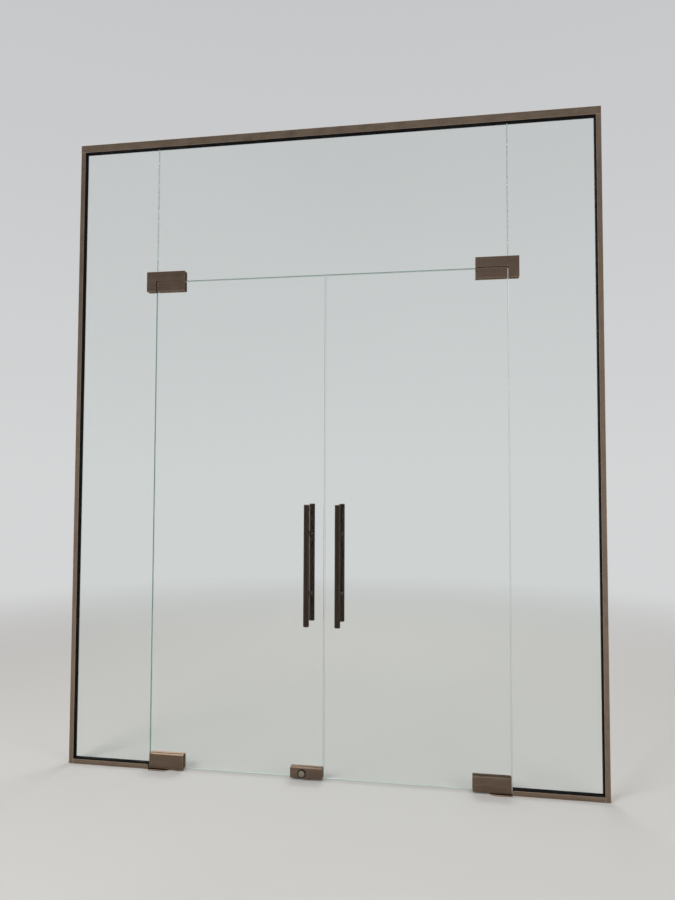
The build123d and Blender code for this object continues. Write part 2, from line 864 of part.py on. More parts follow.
def pull_fixings():
    """Posts with their feet on the glass, in front and behind, and the studs that join them."""
    tube_room = Pos(pull_x(), -pull_standoff, pull_centre_height) * Cylinder(
        pull_diameter / 2 + running_gap, pull_length)
    foot_face = half_glass + pad_thickness
    stud_end = foot_face + 2 * stud_diameter
    pieces = []
    for z in pull_post_heights():
        post = rod_through(pull_x(), z, post_diameter, -pull_standoff, -foot_face)
        post += rod_through(pull_x(), z, post_foot_diameter, -foot_face - post_foot_height, -foot_face)
        post -= tube_room
        post -= rod_through(pull_x(), z, stud_diameter + 2 * seat_gap, -stud_end, 0)
        stud = rod_through(pull_x(), z, stud_diameter, running_gap - stud_end, stud_end - running_gap)
        pieces += [post, turned_back(post), stud]
    return pieces


def pull_pads():
    """Washers between the posts' feet and the glass, and sleeves round the studs."""
    pieces = []
    bore = stud_diameter + 2 * running_gap
    for z in pull_post_heights():
        washer = rod_through(pull_x(), z, pad_diameter, -half_glass - pad_thickness, -half_glass)
        washer -= rod_through(pull_x(), z, bore, -half_glass - pad_thickness, -half_glass)
        sleeve = rod_through(pull_x(), z, stud_hole() - running_gap, -half_glass, half_glass)
        sleeve -= rod_through(pull_x(), z, bore, -half_glass, half_glass)
        pieces += [washer, turned_back(washer), sleeve]
    return pieces


# Writing the nodes

def save_both_sides(pattern, *shapes):
    """Writes the right-hand node and its mirror image."""
    save(pattern.format("right"), *shapes)
    save(pattern.format("left"), *[mirrored(shape) for shape in shapes])


def write_frame():
    save("head_channel", head_channel())
    save_both_sides("jamb_channel_{}", jamb_channel())
    save_both_sides("sill_channel_{}", sill_channel())
    save("glazing_gaskets", *glazing_gaskets())
    save("setting_blocks", *setting_blocks())
    save_both_sides("sidelight_glass_{}", sidelight_glass())
    save("overpanel_glass", overpanel_glass())
    save("silicone_joints", silicone_joint(), mirrored(silicone_joint()))


def write_fixed_fittings():
    save_both_sides("corner_patch_{}_front_cover", corner_cover())
    save_both_sides("corner_patch_{}_rear_cover", turned_back(corner_cover()))
    save_both_sides("corner_patch_{}_clamp", *corner_clamp())
    pads = liners(CORNER)
    save("corner_patch_liners", *pads, *[mirrored(pad) for pad in pads])
    screws = clamp_screws(CORNER)
    save("corner_patch_screws", *screws, *[mirrored(screw) for screw in screws])
    save("top_pivot_pins", top_pivot_pin(), mirrored(top_pivot_pin()))
    save("floor_plates", floor_plate(), mirrored(floor_plate()))
    save("floor_spindles", floor_spindle(), mirrored(floor_spindle()))
    save("lock_strike", lock_strike())


def write_leaf_fittings():
    save_both_sides("{}_top_patch_front_cover", top_patch_cover())
    save_both_sides("{}_top_patch_rear_cover", turned_back(top_patch_cover()))
    save_both_sides("{}_top_patch_clamp", *top_patch_clamp())
    save_both_sides("{}_top_pivot_bush", top_pivot_bush())
    save_both_sides("{}_bottom_patch_front_cover", bottom_patch_cover())
    save_both_sides("{}_bottom_patch_rear_cover", turned_back(bottom_patch_cover()))
    save_both_sides("{}_bottom_patch_clamp", *bottom_patch_clamp())
    save_both_sides("{}_closer", closer())
    save_both_sides("{}_pull_front", *pull())
    save_both_sides("{}_pull_rear", *[turned_back(piece) for piece in pull()])
    save_both_sides("{}_pull_fixings", *pull_fixings())


def write_leaves():
    """The panes, pads and screws, where the left leaf has the lock's as well."""
    save("right_leaf_glass", leaf_glass())
    lock_notch = mirror(LOCK.notch, about=Plane.YZ)
    save("left_leaf_glass", mirrored(leaf_glass(lock_notch)) - glass_holes(LOCK))
    pads = liners(TOP) + liners(BOTTOM) + pull_pads()
    save("right_glass_pads", *pads)
    save("left_glass_pads", *[mirrored(pad) for pad in pads], *liners(LOCK))
    screws = clamp_screws(TOP) + clamp_screws(BOTTOM)
    save("right_patch_screws", *screws)
    save("left_patch_screws", *[mirrored(screw) for screw in screws], *clamp_screws(LOCK))


def write_lock():
    save("lock_patch_front_cover", lock_cover())
    save("lock_patch_rear_cover", turned_back(lock_cover()))
    save("lock_patch_clamp", *lock_patch_clamp())
    save("lock_case", *lock_case())
    save("lock_cylinders", *lock_cylinders())
    save("lock_plug", lock_plug())
    save("lock_pinion", lock_pinion())
    save("lock_thumb_turn", lock_thumb_turn())
    save("lock_bolt", lock_bolt())


os.makedirs("parts", exist_ok=True)
write_frame()
write_fixed_fittings()
write_leaf_fittings()
write_leaves()
write_lock()
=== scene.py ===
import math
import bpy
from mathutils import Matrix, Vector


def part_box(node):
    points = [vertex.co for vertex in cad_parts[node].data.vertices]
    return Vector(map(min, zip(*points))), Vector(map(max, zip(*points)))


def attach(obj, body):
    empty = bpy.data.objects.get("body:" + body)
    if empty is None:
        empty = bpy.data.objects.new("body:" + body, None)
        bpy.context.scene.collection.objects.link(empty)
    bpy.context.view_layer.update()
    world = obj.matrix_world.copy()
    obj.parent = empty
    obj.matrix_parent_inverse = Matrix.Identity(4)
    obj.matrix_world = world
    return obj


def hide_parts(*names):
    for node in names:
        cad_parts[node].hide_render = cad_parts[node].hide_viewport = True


bl_info = {
    "name": "Glass Entrance Door",
    "version": (1, 0, 0),
    "blender": (4, 5, 0),
    "location": "3D View > Sidebar > Entrance Door",
    "description": "Finishes, small hardware and a studio for a frameless glass double door",
    "category": "Object",
}

import bmesh
import bpy
from bpy.props import FloatProperty, FloatVectorProperty, PointerProperty
from mathutils import Matrix, Vector

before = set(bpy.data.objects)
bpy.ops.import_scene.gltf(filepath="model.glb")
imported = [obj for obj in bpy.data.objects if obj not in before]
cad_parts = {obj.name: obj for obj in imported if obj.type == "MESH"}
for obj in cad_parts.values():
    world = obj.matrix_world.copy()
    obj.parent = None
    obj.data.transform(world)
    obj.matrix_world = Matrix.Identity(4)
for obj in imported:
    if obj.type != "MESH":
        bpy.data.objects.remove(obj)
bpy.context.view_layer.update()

SIDES = ("left", "right")
FACES = ("front", "rear")
WHITE = (1.0, 1.0, 1.0, 1.0)

# Glass and clear joints. A grain says how fine a noise is along each axis, per metre.

GLASS_IOR = 1.52
LAMP_LIGHT_KEPT = 0.96
PANE_FACE_LEAN = (0.85, 0.95)
PANE_FACE_LIMIT = 0.5
MERGE_DISTANCE = 0.00001
SMUDGE_GRAIN = (3.1, 3.1, 2.3)
SMUDGE_SPAN = (0.52, 0.78)
WAVE_GRAIN = (0.7, 0.7, 4.0)
GROUND_SPECULAR = 0.3
WHEEL_GRAIN = (900.0, 3000.0, 900.0)
WHEEL_ROUGHNESS = (0.42, 0.62)
WHEEL_DEPTH = 0.00003
CHALK_GRAIN = (30.0, 30.0, 30.0)
CHALK_SHADES = (0.86, 1.08)
SILICONE_IOR = 1.41
SILICONE_CLARITY = 0.6
SILICONE_GRAIN = (90.0, 90.0, 40.0)
SILICONE_SHADES = (0.88, 1.0)
SILICONE_ROUGHNESS = (0.18, 0.34)
SILICONE_DEPTH = 0.0002

# Brushed steel

GRAZING_TINT = (0.72, 0.64, 0.57)
CHANNEL_FINENESS = 2600.0
PATCH_FINENESS = 2000.0
PULL_FINENESS = 1800.0
LOCK_FINENESS = 2400.0
SCRATCH_STRETCH = 90.0
SCRATCH_ROUGHNESS = (-0.05, 0.07)
SCRATCH_DEPTH = 0.00004
STREAK_GRAIN = 220.0
STREAK_GRAIN_ALONG = 6.0
STREAK_SHADES = (0.86, 1.1)
STAIN_GRAIN = (14.0, 14.0, 14.0)
STAIN_COLOUR = (0.88, 0.87, 0.86, 1.0)
STAIN_ROUGHNESS = (-0.04, 0.06)
# Edges painted brighter than the faces: partly worn by rubbing, partly a painted highlight
EDGE_HIGHLIGHT_REACH = 0.002
EDGE_HIGHLIGHT_SAMPLES = 6
EDGE_HIGHLIGHT_LEAN = (0.93, 0.998)
EDGE_HIGHLIGHT_BRIGHTEST = 0.9
NICKEL_ROUGHNESS = 0.28
BRASS_ROUGHNESS = 0.3
# Painted shadow: a dark ring round the lock cylinder's face, from the radius where it starts
COLLAR_SHADOW_START = (0.0156, 0.0162)
COLLAR_SHADOW_COLOUR = (0.012, 0.011, 0.010)

# Castings, small steel parts, rubbers and plastics, each with its colour and mean roughness

CAST_GRAIN = (900.0, 900.0, 900.0)
CAST_SHADES = (0.85, 1.08)
CAST_ROUGHNESS = (-0.05, 0.1)
CAST_DEPTH = 0.00015
CASTING = ((0.07, 0.066, 0.062), 0.5)
ZINC_PLATE = ((0.50, 0.50, 0.51), 0.35)
BOLT_STEEL = ((0.50, 0.49, 0.48), 0.3)
SOCKET_SCREW_STEEL = ((0.10, 0.10, 0.10), 0.35)
RUBBER_SPECULAR = 0.08
RUBBER_GRAIN = (1400.0, 1400.0, 1400.0)
RUBBER_ROUGHNESS = (-0.08, 0.12)
RUBBER_DEPTH = 0.00008
DUST_GRAIN = (24.0, 24.0, 24.0)
DUST_SPAN = (0.45, 0.8)
DUST_BRIGHTNESS = 0.008
GASKET_ROUGHNESS = 0.55
TAPE_ROUGHNESS = 0.7
PAD_FIBRE = ((0.11, 0.105, 0.10), 0.7)
BUSH_NYLON = ((0.05, 0.05, 0.052), 0.4)

# Edge tapes and pull screws, in metres or as shares of the screw's own sizes

TAPE_THICKNESS = 0.0002
TAPE_INSET = 0.0004
TAPE_CORNER = 0.002
POST_RADIUS = 0.0095
POST_SCREW_DEPTH = 0.018
SCREW_SINK = 0.0002
SCREW_SIDES = 20
SCREW_BEVEL = 0.14
SCREW_LENGTH = 1.5
SOCKET_MOUTH = 1.12
SOCKET_LEAD_IN = 0.6

# Floor and camera

FLOOR_RADIUS = 16.0
FLOOR_SEGMENTS = 96
FLOOR_ROUGHNESS = 0.9
# Painted shade of the bolt's hole in the floor under the strike, and the width of its soft edge
HOLE_SHADE_COLOUR = (0.012, 0.011, 0.010)
HOLE_MARGIN = 0.0008
FADE_START = 2.6
FADE_END = 7.0
SENSOR_SIZE = 36.0

# Lamps: the name, place and size of each lamp that lights the door, and the strips at the sides

LAMP_TARGET = Vector((0.0, 0.0, 1.5))
LAMPS = (
    ("key", (-3.4, -4.6, 4.4), (3.2, 2.4)),
    ("side", (4.6, -3.4, 2.6), (2.6, 2.6)),
    ("rear", (0.6, 4.4, 4.6), (3.2, 1.6)),
)
STRIP_SIZE = (0.3, 3.2)
STRIPS = ((-4.2, -1.2), (4.2, -1.0), (-4.2, 1.4), (4.2, 1.4))

# Soft boxes: where each glow lies, the angles where it starts to fade and ends, and its strength

SOFT_BOXES = (
    ((-0.15, -0.30, 0.95), 6.0, 26.0, 5.0),
    ((-0.55, 0.80, 0.38), 12.0, 30.0, 5.0),
    ((-0.45, -0.80, 0.42), 8.0, 30.0, -0.3),
    ((0.05, -0.80, 0.60), 6.0, 24.0, -0.3),
    ((0.50, 0.80, 0.25), 10.0, 34.0, -0.6),
)


# Settings that a user would change

class GlassSettings(bpy.types.PropertyGroup):
    """Colour and surface of the toughened panes."""

    face_colour: FloatVectorProperty(
        name="Face Colour",
        description="Tint of the light that passes through a pane",
        subtype="COLOR",
        size=3,
        min=0,
        max=1,
        default=(0.935, 0.965, 0.952),
    )
    edge_colour: FloatVectorProperty(
        name="Edge Colour",
        description="Green that the glass itself takes on at its edges and arrises",
        subtype="COLOR",
        size=3,
        min=0,
        max=1,
        default=(0.50, 0.74, 0.65),
    )
    edge_roughness: FloatProperty(
        name="Edge Roughness",
        description="How matt the glass itself is at its edges",
        min=0,
        max=1,
        default=0.22,
    )
    ground_colour: FloatVectorProperty(
        name="Ground Edge Colour",
        description="Pale green of the matt ground edges, seen through the panes",
        subtype="COLOR",
        size=3,
        min=0,
        max=1,
        default=(0.66, 0.75, 0.71),
    )
    ground_depth: FloatProperty(
        name="Ground Depth",
        description="How deep under the outline the matt edge lies, and how thick it is",
        min=0.00002,
        max=0.0005,
        default=0.00006,
        subtype="DISTANCE",
        unit="LENGTH",
        precision=6,
    )
    smudge_roughness: FloatProperty(
        name="Smudge Roughness",
        description="How much hand marks blur the panes",
        min=0,
        max=0.3,
        default=0.035,
    )
    wave_height: FloatProperty(
        name="Roller Wave",
        description="Height of the faint waves that toughening leaves in the surface",
        min=0,
        max=0.001,
        default=0.00002,
        subtype="DISTANCE",
        unit="LENGTH",
        precision=6,
    )


class MetalSettings(bpy.types.PropertyGroup):
    """Colours and roughness of the steel and of the lock."""

    channel_colour: FloatVectorProperty(
        name="Channel Colour",
        description="Brushed steel of the channels",
        subtype="COLOR",
        size=3,
        min=0,
        max=1,
        default=(0.275, 0.206, 0.152),
    )
    patch_colour: FloatVectorProperty(
        name="Patch Colour",
        description="Brushed steel of the patch covers and floor plates",
        subtype="COLOR",
        size=3,
        min=0,
        max=1,
        default=(0.194, 0.139, 0.104),
    )
    strike_colour: FloatVectorProperty(
        name="Strike Colour",
        description="Satin steel of the plate in the floor that the bolt drops through",
        subtype="COLOR",
        size=3,
        min=0,
        max=1,
        default=(0.46, 0.43, 0.39),
    )
    pull_colour: FloatVectorProperty(
        name="Pull Colour",
        description="Polished steel of the pulls",
        subtype="COLOR",
        size=3,
        min=0,
        max=1,
        default=(0.05, 0.038, 0.031),
    )
    lock_colour: FloatVectorProperty(
        name="Lock Colour",
        description="Satin nickel of the cylinders and the thumb turn",
        subtype="COLOR",
        size=3,
        min=0,
        max=1,
        default=(0.30, 0.28, 0.235),
    )
    brass_colour: FloatVectorProperty(
        name="Plug Colour",
        description="Worn nickel over brass of the key plug",
        subtype="COLOR",
        size=3,
        min=0,
        max=1,
        default=(0.34, 0.27, 0.16),
    )
    brushed_roughness: FloatProperty(
        name="Brushed Roughness",
        description="Mean roughness of the brushed steel",
        min=0,
        max=1,
        default=0.3,
    )
    polished_roughness: FloatProperty(
        name="Polished Roughness",
        description="Mean roughness of the pulls",
        min=0,
        max=1,
        default=0.17,
    )
    # How much brighter the edges are painted: partly worn by rubbing, partly a painted highlight
    edge_wear_and_highlight: FloatProperty(
        name="Edge Wear",
        description="How much brighter the rubbed edges are than the faces",
        min=1,
        max=6,
        default=3.2,
    )


class RubberSettings(bpy.types.PropertyGroup):
    """Gaskets, setting blocks, edge tapes and the clear joints."""

    gasket_colour: FloatVectorProperty(
        name="Gasket Colour",
        description="Black of the gaskets, setting blocks and edge tapes",
        subtype="COLOR",
        size=3,
        min=0,
        max=1,
        default=(0.004, 0.004, 0.0045),
    )
    silicone_colour: FloatVectorProperty(
        name="Silicone Colour",
        description="Tint of the clear joints between panes",
        subtype="COLOR",
        size=3,
        min=0,
        max=1,
        default=(0.80, 0.84, 0.82),
    )
    bead_hollow: FloatProperty(
        name="Bead Hollow",
        description="How far the tooled face of a clear joint curves in",
        min=0,
        max=0.002,
        default=0.0008,
        subtype="DISTANCE",
        unit="LENGTH",
        precision=5,
    )


class ScrewSettings(bpy.types.PropertyGroup):
    """The small socket screws that fix the pulls' posts."""

    diameter: FloatProperty(
        name="Diameter",
        description="Outer diameter of a socket screw",
        min=0.002,
        max=0.01,
        default=0.005,
        subtype="DISTANCE",
        unit="LENGTH",
        precision=4,
    )
    socket: FloatProperty(
        name="Socket",
        description="Width across the flats of the hexagon socket",
        min=0.001,
        max=0.006,
        default=0.0025,
        subtype="DISTANCE",
        unit="LENGTH",
        precision=4,
    )
    depth: FloatProperty(
        name="Socket Depth",
        description="Depth of the hexagon socket",
        min=0.0005,
        max=0.005,
        default=0.0016,
        subtype="DISTANCE",
        unit="LENGTH",
        precision=4,
    )


class StudioSettings(bpy.types.PropertyGroup):
    """Floor, backdrop, lamps and the camera."""

    floor_colour: FloatVectorProperty(
        name="Floor Colour",
        description="Colour of the studio floor",
        subtype="COLOR",
        size=3,
        min=0,
        max=1,
        default=(0.62, 0.605, 0.585),
    )
    backdrop_colour: FloatVectorProperty(
        name="Backdrop Colour",
        description="Colour of the backdrop at the horizon",
        subtype="COLOR",
        size=3,
        min=0,
        max=1,
        default=(0.66, 0.665, 0.67),
    )
    zenith_colour: FloatVectorProperty(
        name="Overhead Colour",
        description="Colour of the backdrop straight above",
        subtype="COLOR",
        size=3,
        min=0,
        max=1,
        default=(0.50, 0.51, 0.52),
    )
    fill_strength: FloatProperty(
        name="Fill",
        description="Strength of the even light from all round",
        min=0,
        max=3,
        default=0.48,
    )
    glow_strength: FloatProperty(
        name="Soft Boxes",
        description="Strength of the soft glows that only metal and glass mirror",
        min=0,
        max=3,
        default=1.0,
    )
    key_power: FloatProperty(
        name="Key Power",
        description="Power of the large lamp at the front left",
        min=0,
        max=3000,
        default=240,
        subtype="POWER",
        unit="POWER",
    )
    side_power: FloatProperty(
        name="Side Power",
        description="Power of the lamp at the front right",
        min=0,
        max=3000,
        default=90,
        subtype="POWER",
        unit="POWER",
    )
    rear_power: FloatProperty(
        name="Rear Power",
        description="Power of the lamp behind the door",
        min=0,
        max=3000,
        default=110,
        subtype="POWER",
        unit="POWER",
    )
    strip_power: FloatProperty(
        name="Strip Power",
        description="Power of each upright strip lamp at the sides, which the metal mirrors",
        min=0,
        max=500,
        default=16,
        subtype="POWER",
        unit="POWER",
    )
    camera_place: FloatVectorProperty(
        name="Camera Place",
        description="Where the camera stands",
        subtype="TRANSLATION",
        unit="LENGTH",
        size=3,
        default=(0.5478, -3.2323, 1.5041),
    )
    camera_heading: FloatProperty(
        name="Camera Heading",
        description="How far the camera is turned to the left",
        subtype="ANGLE",
        unit="ROTATION",
        default=math.radians(8.506),
    )
    camera_pitch: FloatProperty(
        name="Camera Pitch",
        description="How far the camera looks up",
        subtype="ANGLE",
        unit="ROTATION",
        default=math.radians(2.482),
    )
    camera_roll: FloatProperty(
        name="Camera Roll",
        description="How far the camera's right side is raised",
        subtype="ANGLE",
        unit="ROTATION",
        default=math.radians(0.202),
    )
    focal_length: FloatProperty(
        name="Focal Length",
        description="Focal length in millimetres for a picture 36 mm high",
        min=10,
        max=200,
        default=25.78,
    )


# Node helpers

def new_finish(name):
    """A material, its node tree and its one Principled shader."""
    material = bpy.data.materials.new(name)
    material.use_nodes = True
    tree = material.node_tree
    return material, tree, tree.nodes["Principled BSDF"]


def feed(tree, target, value):
    """Links an input from another socket, or sets it to a plain value."""
    if isinstance(value, bpy.types.NodeSocket):
        tree.links.new(value, target)
    else:
        target.default_value = value


def add_node(tree, kind, **inputs):
    """A node with some of its inputs fed by name."""
    node = tree.nodes.new(kind)
    for name, value in inputs.items():
        feed(tree, node.inputs[name.replace("_", " ")], value)
    return node


def value_of(tree, operation, *values):
    """A value worked out from one, two or three others."""
    node = tree.nodes.new("ShaderNodeMath")
    node.operation = operation
    for target, value in zip(node.inputs, values):
        feed(tree, target, value)
    return node.outputs["Value"]


def vector_of(tree, operation, *vectors, result="Vector"):
    """A vector, or a value, worked out from one or two vectors."""
    node = tree.nodes.new("ShaderNodeVectorMath")
    node.operation = operation
    for target, vector in zip(node.inputs, vectors):
        feed(tree, target, vector)
    return node.outputs[result]


def mix_between(tree, factor, first, second, kind="RGBA", blend="MIX"):
    """A colour or a value between two."""
    node = tree.nodes.new("ShaderNodeMix")
    node.data_type = kind
    node.blend_type = blend
    feed(tree, node.inputs["Factor"], factor)
    feed(tree, node.inputs["A"], first)
    feed(tree, node.inputs["B"], second)
    return node.outputs["Result"]


def mix_shaders(tree, factor, first, second):
    """A surface between two."""
    node = tree.nodes.new("ShaderNodeMixShader")
    for target, source in zip(node.inputs, (factor, first, second)):
        feed(tree, target, source)
    return node.outputs["Shader"]


def spread(tree, source, low, high, start=0.3, end=0.7, smooth=False):
    """A value mapped from start and end to low and high, and kept between them."""
    node = add_node(tree, "ShaderNodeMapRange", Value=source, From_Min=start, From_Max=end)
    node.inputs["To Min"].default_value = low
    node.inputs["To Max"].default_value = high
    if smooth:
        node.interpolation_type = "SMOOTHSTEP"
    return node.outputs["Result"]


def object_grain(tree, scale, detail=5.0, roughness=0.6):
    """Noise in the object's own metres, stretched by a scale for each axis."""
    place = tree.nodes.new("ShaderNodeTexCoord")
    stretch = add_node(tree, "ShaderNodeMapping", Vector=place.outputs["Object"], Scale=scale)
    noise = add_node(tree, "ShaderNodeTexNoise", Scale=1.0, Detail=detail, Roughness=roughness)
    feed(tree, noise.inputs["Vector"], stretch.outputs["Vector"])
    return noise.outputs["Fac"]


def colour4(colour, shade=1.0):
    return (colour[0] * shade, colour[1] * shade, colour[2] * shade, 1.0)


def shades_of(tree, grain, colour, dark, bright):
    """One colour, darker and brighter by a noise."""
    return mix_between(tree, spread(tree, grain, 0.0, 1.0), colour4(colour, dark), colour4(colour, bright))


def around(tree, grain, middle, below_and_above):
    """A value that a noise moves below and above its middle."""
    below, above = below_and_above
    return spread(tree, grain, middle + below, middle + above)


def add_bump(tree, shader, height, distance, strength=1.0):
    bump = add_node(tree, "ShaderNodeBump", Strength=strength, Distance=distance, Height=height)
    feed(tree, shader.inputs["Normal"], bump.outputs["Normal"])


def show_surface(tree, surface):
    feed(tree, tree.nodes["Material Output"].inputs["Surface"], surface)


# Finishes

def edge_mask(tree):
    """1 on the edges and arrises of a pane, 0 on its two faces, from the pane's own normals."""
    place = tree.nodes.new("ShaderNodeTexCoord")
    split = add_node(tree, "ShaderNodeSeparateXYZ", Vector=place.outputs["Normal"])
    lean = value_of(tree, "ABSOLUTE", split.outputs["Y"])
    return spread(tree, lean, 1.0, 0.0, *PANE_FACE_LEAN)


def let_lamps_through(tree, shader, colour):
    """Lets the lamps' light pass straight through, so that a pane throws only a faint shadow."""
    path = tree.nodes.new("ShaderNodeLightPath")
    clear = add_node(tree, "ShaderNodeBsdfTransparent", Color=colour4(colour, LAMP_LIGHT_KEPT))
    show_surface(
        tree,
        mix_shaders(tree, path.outputs["Is Shadow Ray"], shader.outputs["BSDF"], clear.outputs["BSDF"]),
    )


def clear_glass(name, settings):
    """Toughened glass with green ground edges, faint smudges and roller waves."""
    material, tree, shader = new_finish(name)
    shader.inputs["Transmission Weight"].default_value = 1.0
    shader.inputs["IOR"].default_value = GLASS_IOR
    edges = edge_mask(tree)
    colour = mix_between(tree, edges, colour4(settings.face_colour), colour4(settings.edge_colour))
    feed(tree, shader.inputs["Base Color"], colour)
    hand_marks = object_grain(tree, SMUDGE_GRAIN, detail=7.0)
    smudge = spread(tree, hand_marks, 0.0, settings.smudge_roughness, *SMUDGE_SPAN)
    roughness = mix_between(tree, edges, smudge, settings.edge_roughness, kind="FLOAT")
    feed(tree, shader.inputs["Roughness"], roughness)
    add_bump(tree, shader, object_grain(tree, WAVE_GRAIN, detail=1.0), settings.wave_height)
    let_lamps_through(tree, shader, settings.face_colour)
    return material


def ground_glass(name, colour):
    """The matt band that grinding leaves round a pane, with the lengthwise marks of the wheel."""
    material, tree, shader = new_finish(name)
    shader.inputs["Specular IOR Level"].default_value = GROUND_SPECULAR
    marks = object_grain(tree, WHEEL_GRAIN, detail=3.0)
    chalk = object_grain(tree, CHALK_GRAIN, detail=5.0)
    feed(tree, shader.inputs["Base Color"], shades_of(tree, chalk, colour, *CHALK_SHADES))
    feed(tree, shader.inputs["Roughness"], spread(tree, marks, *WHEEL_ROUGHNESS))
    add_bump(tree, shader, marks, WHEEL_DEPTH, strength=0.5)
    return material


def clear_silicone(name, colour):
    """Clear sealant: milky, soft-edged and a little bubbly."""
    material, tree, shader = new_finish(name)
    shader.inputs["Transmission Weight"].default_value = SILICONE_CLARITY
    shader.inputs["IOR"].default_value = SILICONE_IOR
    cloud = object_grain(tree, SILICONE_GRAIN, detail=4.0)
    feed(tree, shader.inputs["Base Color"], shades_of(tree, cloud, colour, *SILICONE_SHADES))
    feed(tree, shader.inputs["Roughness"], spread(tree, cloud, *SILICONE_ROUGHNESS))
    add_bump(tree, shader, cloud, SILICONE_DEPTH, strength=0.5)
    let_lamps_through(tree, shader, colour)
    return material


def wear_and_highlight_edges(tree):
    """1 along convex and concave edges, 0 on open faces, from how far the rounded normal leans; it marks
    where the edges are painted brighter, partly worn by rubbing and partly a painted highlight.
    """
    rounded = add_node(tree, "ShaderNodeBevel", Radius=EDGE_HIGHLIGHT_REACH)
    rounded.samples = EDGE_HIGHLIGHT_SAMPLES
    plain = tree.nodes.new("ShaderNodeNewGeometry")
    normals = (rounded.outputs["Normal"], plain.outputs["Normal"])
    lean = vector_of(tree, "DOT_PRODUCT", *normals, result="Value")
    return spread(tree, lean, 1.0, 0.0, *EDGE_HIGHLIGHT_LEAN)


def brushed_steel(name, colour, roughness, grain_axis, fineness=CHANNEL_FINENESS, edge_brightening=1.0):
    """Steel brushed along one axis: fine scratches, broader streaks, slow stains, and edges painted
    brighter, partly worn by rubbing and partly a painted highlight.
    """
    material, tree, shader = new_finish(name)
    shader.inputs["Metallic"].default_value = 1.0
    shader.inputs["Specular Tint"].default_value = colour4(GRAZING_TINT)
    along = "XYZ".index(grain_axis)
    scratch_grain = [fineness] * 3
    scratch_grain[along] = fineness / SCRATCH_STRETCH
    streak_grain = [STREAK_GRAIN] * 3
    streak_grain[along] = STREAK_GRAIN_ALONG
    scratches = object_grain(tree, scratch_grain, detail=3.0)
    streaks = object_grain(tree, streak_grain, detail=4.0)
    stains = object_grain(tree, STAIN_GRAIN, detail=4.0)
    streaked = shades_of(tree, streaks, colour, *STREAK_SHADES)
    stained = mix_between(tree, spread(tree, stains, 0.0, 1.0), STAIN_COLOUR, WHITE)
    open_face = mix_between(tree, 1.0, streaked, stained, blend="MULTIPLY")
    # Edge colour: partly worn by rubbing, partly a painted highlight
    rubbed_and_highlit = colour4([min(part * edge_brightening, EDGE_HIGHLIGHT_BRIGHTEST) for part in colour])
    feed(tree, shader.inputs["Base Color"], mix_between(tree, wear_and_highlight_edges(tree), open_face, rubbed_and_highlit))
    fine = spread(tree, scratches, *SCRATCH_ROUGHNESS)
    slow = around(tree, stains, roughness, STAIN_ROUGHNESS)
    feed(tree, shader.inputs["Roughness"], value_of(tree, "ADD", fine, slow))
    add_bump(tree, shader, scratches, SCRATCH_DEPTH, strength=0.5)
    return material


def lock_axis():
    """The place of the lock cylinder's axis, across and above."""
    low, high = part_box("lock_plug")
    return (low.x + high.x) / 2, (low.z + high.z) / 2


def paint_collar_shadow(material, across, above):
    """Paints a dark ring as painted shadow round a cylinder's face, from the radius where the collar
    starts.
    """
    tree = material.node_tree
    colour = tree.nodes["Principled BSDF"].inputs["Base Color"]
    place = tree.nodes.new("ShaderNodeTexCoord")
    offset = vector_of(tree, "SUBTRACT", place.outputs["Object"], (across, 0.0, above))
    flat = vector_of(tree, "MULTIPLY", offset, (1.0, 0.0, 1.0))
    radius = vector_of(tree, "LENGTH", flat, result="Value")
    collar = spread(tree, radius, 0.0, 1.0, *COLLAR_SHADOW_START)
    face = colour.links[0].from_socket
    feed(tree, colour, mix_between(tree, collar, face, colour4(COLLAR_SHADOW_COLOUR)))


def cast_metal(name, colour, roughness):
    """Castings and small steel parts: a dull, slightly grainy metal."""
    material, tree, shader = new_finish(name)
    shader.inputs["Metallic"].default_value = 1.0
    grain = object_grain(tree, CAST_GRAIN, detail=3.0)
    feed(tree, shader.inputs["Base Color"], shades_of(tree, grain, colour, *CAST_SHADES))
    feed(tree, shader.inputs["Roughness"], around(tree, grain, roughness, CAST_ROUGHNESS))
    add_bump(tree, shader, grain, CAST_DEPTH, strength=0.5)
    return material


def rubber(name, colour, roughness):
    """Rubber or plastic with a faint sheen and dust in its pores."""
    material, tree, shader = new_finish(name)
    shader.inputs["Specular IOR Level"].default_value = RUBBER_SPECULAR
    grain = object_grain(tree, RUBBER_GRAIN, detail=4.0)
    dust = spread(tree, object_grain(tree, DUST_GRAIN, detail=6.0), 0.0, 1.0, *DUST_SPAN)
    dusty = colour4([part + DUST_BRIGHTNESS for part in colour])
    feed(tree, shader.inputs["Base Color"], mix_between(tree, dust, colour4(colour), dusty))
    feed(tree, shader.inputs["Roughness"], around(tree, grain, roughness, RUBBER_ROUGHNESS))
    add_bump(tree, shader, grain, RUBBER_DEPTH, strength=0.4)
    return material


def dress(nodes, material):
    """Gives CAD nodes a finish in place of their plain one."""
    for name in nodes:
        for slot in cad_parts[name].material_slots:
            slot.material = material


# Mesh helpers

def link_object(name, data):
    """A new object in the scene."""
    thing = bpy.data.objects.new(name, data)
    bpy.context.scene.collection.objects.link(thing)
    return thing


def finished_piece(name, build, material, body):
    """Turns a bmesh into a piece with flat faces that rides on a body."""
    mesh = bpy.data.meshes.new(name)
    bmesh.ops.recalc_face_normals(build, faces=build.faces)
    for face in build.faces:
        face.smooth = False
    build.to_mesh(mesh)
    build.free()
    piece = link_object(name, mesh)
    mesh.materials.append(material)
    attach(piece, body)
    return piece


def bridge(build, first, second):
    """Quads between two rings of as many vertices."""
    count = len(first)
    for number in range(count):
        after = (number + 1) % count
        build.faces.new((first[number], first[after], second[after], second[number]))


